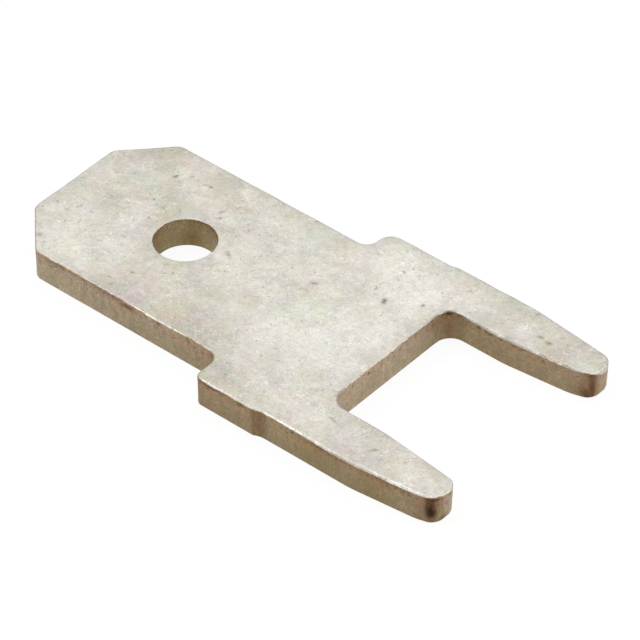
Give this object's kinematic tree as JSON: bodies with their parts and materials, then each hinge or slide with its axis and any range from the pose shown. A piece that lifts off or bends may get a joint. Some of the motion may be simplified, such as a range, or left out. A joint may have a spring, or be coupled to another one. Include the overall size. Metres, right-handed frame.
{
  "type": "male spade terminal",
  "caption": "Flat male spade terminal for a circuit board: a chamfered tab with a latching hole, square shoulders and tapered solder legs, blanked from one plated brass sheet.",
  "frame": {"origin": "under the middle of the terminal's length, on the tab's centreline, at the lower broad face that it lies on", "axes": "+X from the tab's nose to the leg tips, +Y across the tab, +Z out of the upper broad face, whose edges the punch rolled"},
  "size_m": [0.013, 0.0063, 0.0008],
  "materials": {
    "tinned_brass": "matt tin plate on the broad faces, bare dull brass on the cut edges"
  },
  "bodies": {
    "root": {"spade_terminal": "tinned_brass"}
  },
  "joints": []
}
